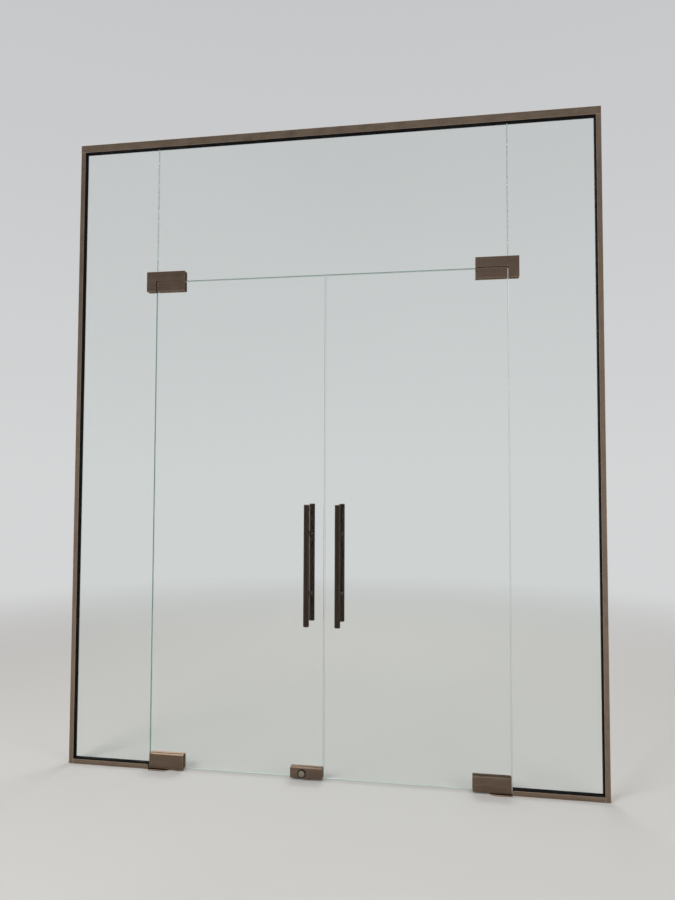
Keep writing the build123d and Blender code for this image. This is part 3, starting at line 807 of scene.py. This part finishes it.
def ground_edge(pane, material, body, depth):
    """Copies the narrow faces round a pane, moves them just inside it and gives them a thickness."""
    build = bmesh.new()
    build.from_mesh(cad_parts[pane].data)
    pane_faces = [face for face in build.faces if abs(face.normal.y) > PANE_FACE_LIMIT]
    bmesh.ops.delete(build, geom=pane_faces, context="FACES")
    bmesh.ops.remove_doubles(build, verts=build.verts, dist=MERGE_DISTANCE)
    build.normal_update()
    for vertex in build.verts:
        vertex.co -= depth * vertex.normal
    bmesh.ops.solidify(build, geom=build.faces, thickness=depth)
    finished_piece(f"{pane}_ground_edge", build, material, body)


def tape_outline(half_width, bottom, top, steps=4):
    """A tall rectangle with rounded corners, as places across and above."""
    points = []
    corners = ((1, top, 0), (-1, top, 1), (-1, bottom, 2), (1, bottom, 3))
    for side, level, quarter in corners:
        inward = -1 if level == top else 1
        for step in range(steps + 1):
            angle = (quarter + step / steps) * math.pi / 2
            y = side * (half_width - TAPE_CORNER) + TAPE_CORNER * math.cos(angle)
            z = level + inward * TAPE_CORNER + TAPE_CORNER * math.sin(angle)
            points.append((y, z))
    return points


def bead_outline(sign, inner, outer, half_glass, hollow, steps=8):
    """The section of one clear joint, whose two open faces curve in between the panes."""
    points = []
    for face in (-1, 1):
        for step in range(steps + 1):
            share = step / steps
            x = inner + (outer - inner) * (share if face < 0 else 1 - share)
            dip = hollow * 4 * share * (1 - share)
            points.append((sign * x, face * (half_glass - dip)))
    return points


def screw_ring(build, place, radius, height, hexagonal):
    """A ring of vertices round a screw's axis, on a circle or on the hexagon of its socket."""
    ring = []
    for number in range(SCREW_SIDES):
        angle = 2 * math.pi * number / SCREW_SIDES
        within = (angle % (math.pi / 3)) - math.pi / 6
        flat = math.cos(math.pi / 6) / math.cos(within)
        reach = radius * flat if hexagonal else radius
        point = Vector((reach * math.cos(angle), reach * math.sin(angle), height))
        ring.append(build.verts.new(place @ point))
    return ring


def socket_screw(build, place, screws):
    """Adds one small grub screw with a hexagon socket, its head facing the place's local +Z."""
    rim = screws.diameter / 2
    bevel = rim * SCREW_BEVEL
    hexagon = screws.socket / 2 / math.cos(math.pi / 6)
    sections = (
        (rim, -screws.depth * SCREW_LENGTH, False),
        (rim, -bevel, False),
        (rim - bevel, 0.0, False),
        (hexagon * SOCKET_MOUTH, 0.0, True),
        (hexagon, -bevel * SOCKET_LEAD_IN, True),
        (hexagon, -screws.depth, True),
    )
    rings = [screw_ring(build, place, *section) for section in sections]
    for first, second in zip(rings, rings[1:]):
        bridge(build, first, second)
    build.faces.new(rings[0])
    build.faces.new(rings[-1])


# Finishes and small pieces of the door

class DOOR_OT_finish_glass(bpy.types.Operator):
    """Gives every pane its clear glass with green edges"""

    bl_idname = "door.finish_glass"
    bl_label = "Finish Glass"

    def execute(self, context):
        glass = clear_glass("toughened_glass", context.scene.door_glass)
        for side in SIDES:
            dress([f"sidelight_glass_{side}", f"{side}_leaf_glass"], glass)
        dress(["overpanel_glass"], glass)
        return {"FINISHED"}


class DOOR_OT_grind_edges(bpy.types.Operator):
    """Gives every pane its matt ground edge, as a thin skin just inside its outline"""

    bl_idname = "door.grind_edges"
    bl_label = "Grind Glass Edges"

    def execute(self, context):
        settings = context.scene.door_glass
        material = ground_glass("ground_edge", settings.ground_colour)
        for side in SIDES:
            ground_edge(f"sidelight_glass_{side}", material, "root", settings.ground_depth)
            ground_edge(f"{side}_leaf_glass", material, f"{side}_leaf", settings.ground_depth)
        ground_edge("overpanel_glass", material, "root", settings.ground_depth)
        return {"FINISHED"}


class DOOR_OT_finish_channels(bpy.types.Operator):
    """Brushes the head, jamb and sill channels along their length"""

    bl_idname = "door.finish_channels"
    bl_label = "Finish Channels"

    def execute(self, context):
        metal = context.scene.door_metal
        look = (metal.channel_colour, metal.brushed_roughness)
        level = brushed_steel("channel_steel_level", *look, "X", edge_brightening=metal.edge_wear_and_highlight)
        upright = brushed_steel("channel_steel_upright", *look, "Z", edge_brightening=metal.edge_wear_and_highlight)
        dress(["head_channel"] + [f"sill_channel_{side}" for side in SIDES], level)
        dress([f"jamb_channel_{side}" for side in SIDES], upright)
        return {"FINISHED"}


class DOOR_OT_finish_patches(bpy.types.Operator):
    """Brushes the patch covers, floor plates and strike, and dulls what they hide"""

    bl_idname = "door.finish_patches"
    bl_label = "Finish Patch Fittings"

    def execute(self, context):
        metal = context.scene.door_metal
        look = (metal.patch_colour, metal.brushed_roughness)
        cover = brushed_steel("patch_steel", *look, "X", PATCH_FINENESS, metal.edge_wear_and_highlight)
        casting = cast_metal("casting", *CASTING)
        zinc = cast_metal("zinc_plated_steel", *ZINC_PLATE)
        strike = brushed_steel("strike_steel", metal.strike_colour, metal.brushed_roughness, "X")
        for face in FACES:
            for side in SIDES:
                dress([f"corner_patch_{side}_{face}_cover"], cover)
                dress([f"{side}_{place}_patch_{face}_cover" for place in ("top", "bottom")], cover)
            dress([f"lock_patch_{face}_cover"], cover)
        dress(["floor_plates"], cover)
        dress(["lock_strike"], strike)
        for side in SIDES:
            hidden = ("top_patch_clamp", "bottom_patch_clamp", "closer")
            dress([f"{side}_{part}" for part in hidden] + [f"corner_patch_{side}_clamp"], casting)
            dress([f"{side}_patch_screws"], zinc)
        dress(["lock_patch_clamp", "lock_case"], casting)
        dress(["corner_patch_screws", "top_pivot_pins", "floor_spindles"], zinc)
        return {"FINISHED"}


class DOOR_OT_finish_pulls(bpy.types.Operator):
    """Polishes the tubular pulls and their posts"""

    bl_idname = "door.finish_pulls"
    bl_label = "Finish Pulls"

    def execute(self, context):
        metal = context.scene.door_metal
        look = (metal.pull_colour, metal.polished_roughness)
        tube = brushed_steel("pull_steel", *look, "Z", PULL_FINENESS, metal.edge_wear_and_highlight)
        post = brushed_steel("post_steel", *look, "Y", PULL_FINENESS, metal.edge_wear_and_highlight)
        for side in SIDES:
            dress([f"{side}_pull_{face}" for face in FACES], tube)
            dress([f"{side}_pull_fixings"], post)
        return {"FINISHED"}


class DOOR_OT_finish_lock(bpy.types.Operator):
    """Gives the lock's cylinders, plug, thumb turn, pinion and bolt their metals"""

    bl_idname = "door.finish_lock"
    bl_label = "Finish Lock"

    def execute(self, context):
        metal = context.scene.door_metal
        look = (metal.lock_colour, NICKEL_ROUGHNESS)
        nickel = brushed_steel("satin_nickel", *look, "X", LOCK_FINENESS)
        shadowed_nickel = brushed_steel("collared_nickel", *look, "X", LOCK_FINENESS)
        # The dark ring round the cylinders' face is painted shadow
        paint_collar_shadow(shadowed_nickel, *lock_axis())
        brass = brushed_steel("worn_brass", metal.brass_colour, BRASS_ROUGHNESS, "X", LOCK_FINENESS)
        dress(["lock_cylinders"], shadowed_nickel)
        dress(["lock_thumb_turn"], nickel)
        dress(["lock_plug"], brass)
        dress(["lock_pinion", "lock_bolt"], cast_metal("bolt_steel", *BOLT_STEEL))
        return {"FINISHED"}


class DOOR_OT_finish_rubber(bpy.types.Operator):
    """Gives gaskets, setting blocks, pads and bushes their rubbers and plastics"""

    bl_idname = "door.finish_rubber"
    bl_label = "Finish Rubber"

    def execute(self, context):
        black = context.scene.door_rubber.gasket_colour
        dress(["glazing_gaskets", "setting_blocks"], rubber("gasket_rubber", black, GASKET_ROUGHNESS))
        pads = ["corner_patch_liners"] + [f"{side}_glass_pads" for side in SIDES]
        dress(pads, rubber("pad_fibre", *PAD_FIBRE))
        dress([f"{side}_top_pivot_bush" for side in SIDES], rubber("bush_nylon", *BUSH_NYLON))
        return {"FINISHED"}


class DOOR_OT_make_silicone(bpy.types.Operator):
    """Makes the tooled clear joints between the overpanel and the sidelights"""

    bl_idname = "door.make_silicone"
    bl_label = "Make Clear Joints"

    def execute(self, context):
        settings = context.scene.door_rubber
        material = clear_silicone("clear_silicone", settings.silicone_colour)
        half_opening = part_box("sidelight_glass_right")[0].x
        half_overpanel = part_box("overpanel_glass")[1].x
        half_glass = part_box("overpanel_glass")[1].y
        low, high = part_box("silicone_joints")
        build = bmesh.new()
        for sign in (-1, 1):
            outline = bead_outline(sign, half_overpanel, half_opening, half_glass, settings.bead_hollow)
            bottom = [build.verts.new((x, y, low.z)) for x, y in outline]
            top = [build.verts.new((x, y, high.z)) for x, y in outline]
            bridge(build, bottom, top)
            build.faces.new(bottom)
            build.faces.new(top)
        piece = finished_piece("silicone_beads", build, material, "root")
        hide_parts("silicone_joints")
        return {"FINISHED"}


class DOOR_OT_make_edge_tapes(bpy.types.Operator):
    """Sticks black tapes on the sidelight edges inside the corner patches, beside the leaves' covers"""

    bl_idname = "door.make_edge_tapes"
    bl_label = "Make Edge Tapes"

    def execute(self, context):
        black = context.scene.door_rubber.gasket_colour
        material = rubber("edge_tape", black, TAPE_ROUGHNESS)
        for side, sign in (("left", -1), ("right", 1)):
            pane_low, pane_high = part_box(f"sidelight_glass_{side}")
            edge = pane_low.x if sign > 0 else pane_high.x
            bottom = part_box(f"corner_patch_{side}_front_cover")[0].z + TAPE_INSET
            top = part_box("overpanel_glass")[0].z - TAPE_INSET
            half_width = pane_high.y - TAPE_INSET / 2
            build = bmesh.new()
            layers = []
            for lift, inset in ((0.0, 0.0), (TAPE_THICKNESS, TAPE_THICKNESS)):
                outline = tape_outline(half_width - inset, bottom + inset, top - inset)
                layers.append([build.verts.new((edge - sign * lift, y, z)) for y, z in outline])
            bridge(build, *layers)
            for layer in layers:
                build.faces.new(layer)
            finished_piece(f"corner_patch_{side}_edge_tape", build, material, "root")
        return {"FINISHED"}


class DOOR_OT_make_pull_screws(bpy.types.Operator):
    """Adds the small socket screws that fix the pulls' posts to their studs"""

    bl_idname = "door.make_pull_screws"
    bl_label = "Make Pull Screws"

    def execute(self, context):
        screws = context.scene.door_screws
        material = cast_metal("socket_screw_steel", *SOCKET_SCREW_STEEL)
        facing_down = Matrix.Rotation(math.pi, 4, "X")
        for side in SIDES:
            low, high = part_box(f"{side}_pull_fixings")
            centre_x = (low.x + high.x) / 2
            foot = high.x - centre_x
            build = bmesh.new()
            for level in (low.z + foot, high.z - foot):
                for face in (-1, 1):
                    where = Vector((centre_x, face * POST_SCREW_DEPTH, level - POST_RADIUS + SCREW_SINK))
                    socket_screw(build, Matrix.Translation(where) @ facing_down, screws)
            finished_piece(f"{side}_pull_screws", build, material, f"{side}_leaf")
        return {"FINISHED"}


# Studio

class DOOR_OT_build_studio(bpy.types.Operator):
    """Sets the floor, backdrop, lamps and the camera"""

    bl_idname = "door.build_studio"
    bl_label = "Build Studio"

    def execute(self, context):
        studio = context.scene.door_studio
        make_floor(studio)
        make_world(studio)
        for name, place, size in LAMPS:
            make_lamp(name, place, size, getattr(studio, f"{name}_power"))
        for number, (x, y) in enumerate(STRIPS):
            place = (x, y, LAMP_TARGET.z)
            make_lamp(f"strip_{number}", place, STRIP_SIZE, studio.strip_power, mirrored=True)
        make_camera(studio)
        context.scene.view_settings.view_transform = "Standard"
        return {"FINISHED"}


def make_floor(studio):
    """A wide round floor that fades into the backdrop away from the door."""
    build = bmesh.new()
    bmesh.ops.create_circle(build, cap_ends=True, segments=FLOOR_SEGMENTS, radius=FLOOR_RADIUS)
    mesh = bpy.data.meshes.new("studio_floor")
    build.to_mesh(mesh)
    build.free()
    floor = link_object("studio_floor", mesh)
    mesh.materials.append(floor_paint(studio))


def floor_paint(studio):
    """Matt paint that turns into the backdrop's glow away from the door, with painted shade where the
    bolt's hole lies.
    """
    material, tree, shader = new_finish("studio_floor_paint")
    shader.inputs["Roughness"].default_value = FLOOR_ROUGHNESS
    shader.inputs["Specular IOR Level"].default_value = 0.0
    place = tree.nodes.new("ShaderNodeTexCoord").outputs["Object"]
    # Painted shade: the floor is darkened where the bolt's hole lies in the strike's slot
    hole_shade = painted_hole_shade_mask(tree, place)
    paint = mix_between(tree, hole_shade, colour4(studio.floor_colour), colour4(HOLE_SHADE_COLOUR))
    feed(tree, shader.inputs["Base Color"], paint)
    distance = vector_of(tree, "LENGTH", place, result="Value")
    fade = spread(tree, distance, 0.0, 1.0, FADE_START, FADE_END, smooth=True)
    glow = add_node(tree, "ShaderNodeEmission", Color=colour4(studio.backdrop_colour), Strength=1.0)
    show_surface(tree, mix_shaders(tree, fade, shader.outputs["BSDF"], glow.outputs["Emission"]))
    return material


def painted_hole_shade_mask(tree, place):
    """1 where the floor is painted dark as the shade inside the bolt's hole, within the strike's slot, and
    0 elsewhere.
    """
    low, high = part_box("lock_bolt")
    strike_low, strike_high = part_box("lock_strike")
    centre = Vector(((strike_low.x + strike_high.x) / 2, (strike_low.y + strike_high.y) / 2, 0.0))
    half_length = high.x - centre.x + HOLE_MARGIN
    half_width = (high.y - low.y) / 2 + HOLE_MARGIN
    offset = vector_of(tree, "SUBTRACT", place, centre)
    split = add_node(tree, "ShaderNodeSeparateXYZ", Vector=vector_of(tree, "ABSOLUTE", offset))
    within_length = spread(tree, split.outputs["X"], 1.0, 0.0, half_length - HOLE_MARGIN, half_length)
    within_width = spread(tree, split.outputs["Y"], 1.0, 0.0, half_width - HOLE_MARGIN, half_width)
    return value_of(tree, "MULTIPLY", within_length, within_width)


def make_world(studio):
    """A pale backdrop for what is seen, mirrored or seen through glass, and an even fill for the rest."""
    world = bpy.data.worlds.new("studio")
    world.use_nodes = True
    tree = world.node_tree
    fill = tree.nodes["Background"]
    fill.inputs["Color"].default_value = WHITE
    fill.inputs["Strength"].default_value = studio.fill_strength
    direction = tree.nodes.new("ShaderNodeTexCoord").outputs["Generated"]
    upward = add_node(tree, "ShaderNodeSeparateXYZ", Vector=direction).outputs["Z"]
    height = spread(tree, upward, 0.0, 1.0, 0.0, 1.0)
    colour = mix_between(tree, height, colour4(studio.backdrop_colour), colour4(studio.zenith_colour))
    path = tree.nodes.new("ShaderNodeLightPath")
    strength = backdrop_strength(tree, direction, path.outputs["Glossy Depth"], studio.glow_strength)
    shown = add_node(tree, "ShaderNodeBackground", Color=colour, Strength=strength)
    seen = path.outputs["Is Camera Ray"]
    for kind in ("Glossy", "Transmission"):
        seen = value_of(tree, "MAXIMUM", seen, path.outputs[f"Is {kind} Ray"])
    surface = mix_shaders(tree, seen, fill.outputs["Background"], shown.outputs["Background"])
    feed(tree, tree.nodes["World Output"].inputs["Surface"], surface)
    bpy.context.scene.world = world


def backdrop_strength(tree, direction, glossy_depth, glow_strength):
    """1 for what is seen straight or through glass, and changed by the soft boxes for what is mirrored."""
    glow = soft_box(tree, direction, *SOFT_BOXES[0])
    for box in SOFT_BOXES[1:]:
        glow = value_of(tree, "ADD", glow, soft_box(tree, direction, *box))
    once_mirrored = value_of(tree, "MINIMUM", glossy_depth, 1.0)
    mirrored = value_of(tree, "MULTIPLY", glow, once_mirrored)
    return value_of(tree, "MULTIPLY_ADD", mirrored, glow_strength, 1.0)


def soft_box(tree, direction, aim, inner, outer, strength):
    """A round glow around one direction, full within one angle and gone beyond another, in degrees."""
    towards = vector_of(tree, "DOT_PRODUCT", direction, Vector(aim).normalized(), result="Value")
    edge = math.cos(math.radians(outer))
    core = math.cos(math.radians(inner))
    return spread(tree, towards, 0.0, strength, edge, core, smooth=True)


def make_lamp(name, place, size, power, mirrored=False):
    """A soft rectangular lamp that faces the middle of the door, or one that only metal mirrors."""
    data = bpy.data.lights.new(f"{name}_lamp", "AREA")
    data.shape = "RECTANGLE"
    data.size, data.size_y = size
    data.energy = power
    lamp = link_object(f"{name}_lamp", data)
    lamp.visible_camera = False
    lamp.visible_diffuse = not mirrored
    lamp.visible_glossy = mirrored
    lamp.visible_transmission = False
    lamp.location = place
    aim = LAMP_TARGET - Vector(place)
    lamp.rotation_euler = aim.to_track_quat("-Z", "Y").to_euler()


def make_camera(studio):
    """A camera at the viewing place, turned, pitched and rolled about its own axes."""
    data = bpy.data.cameras.new("camera")
    data.sensor_fit = "AUTO"
    data.sensor_width = SENSOR_SIZE
    data.lens = studio.focal_length
    camera = link_object("camera", data)
    turn = Matrix.Rotation(studio.camera_heading, 4, "Z")
    tilt = Matrix.Rotation(math.pi / 2 + studio.camera_pitch, 4, "X")
    roll = Matrix.Rotation(studio.camera_roll, 4, "Z")
    camera.matrix_world = Matrix.Translation(studio.camera_place) @ turn @ tilt @ roll
    bpy.context.scene.camera = camera


# Sidebar and registration

PANEL_ROWS = (
    ("door_glass", GlassSettings, (DOOR_OT_finish_glass, DOOR_OT_grind_edges)),
    ("door_metal", MetalSettings, (
        DOOR_OT_finish_channels,
        DOOR_OT_finish_patches,
        DOOR_OT_finish_pulls,
        DOOR_OT_finish_lock,
    )),
    ("door_rubber", RubberSettings, (
        DOOR_OT_finish_rubber,
        DOOR_OT_make_silicone,
        DOOR_OT_make_edge_tapes,
    )),
    ("door_screws", ScrewSettings, (DOOR_OT_make_pull_screws,)),
    ("door_studio", StudioSettings, (DOOR_OT_build_studio,)),
)


class DOOR_PT_sidebar(bpy.types.Panel):
    """Lists the steps that finish the door"""

    bl_idname = "DOOR_PT_sidebar"
    bl_label = "Entrance Door"
    bl_space_type = "VIEW_3D"
    bl_region_type = "UI"
    bl_category = "Entrance Door"

    def draw(self, context):
        for settings, _, operators in PANEL_ROWS:
            box = self.layout.box()
            group = getattr(context.scene, settings)
            for name in group.bl_rna.properties.keys():
                if name not in ("name", "rna_type"):
                    box.prop(group, name)
            for operator in operators:
                box.operator(operator.bl_idname)


def all_operators():
    return [operator for _, _, operators in PANEL_ROWS for operator in operators]


def register():
    for settings, group, _ in PANEL_ROWS:
        bpy.utils.register_class(group)
        setattr(bpy.types.Scene, settings, PointerProperty(type=group))
    for operator in all_operators():
        bpy.utils.register_class(operator)
    bpy.utils.register_class(DOOR_PT_sidebar)


def unregister():
    bpy.utils.unregister_class(DOOR_PT_sidebar)
    for operator in reversed(all_operators()):
        bpy.utils.unregister_class(operator)
    for settings, group, _ in PANEL_ROWS:
        delattr(bpy.types.Scene, settings)
        bpy.utils.unregister_class(group)


def main():
    """Runs every step in order."""
    register()
    for operator in all_operators():
        area, _, name = operator.bl_idname.partition(".")
        getattr(getattr(bpy.ops, area), name)()


if __name__ == "__main__":
    main()
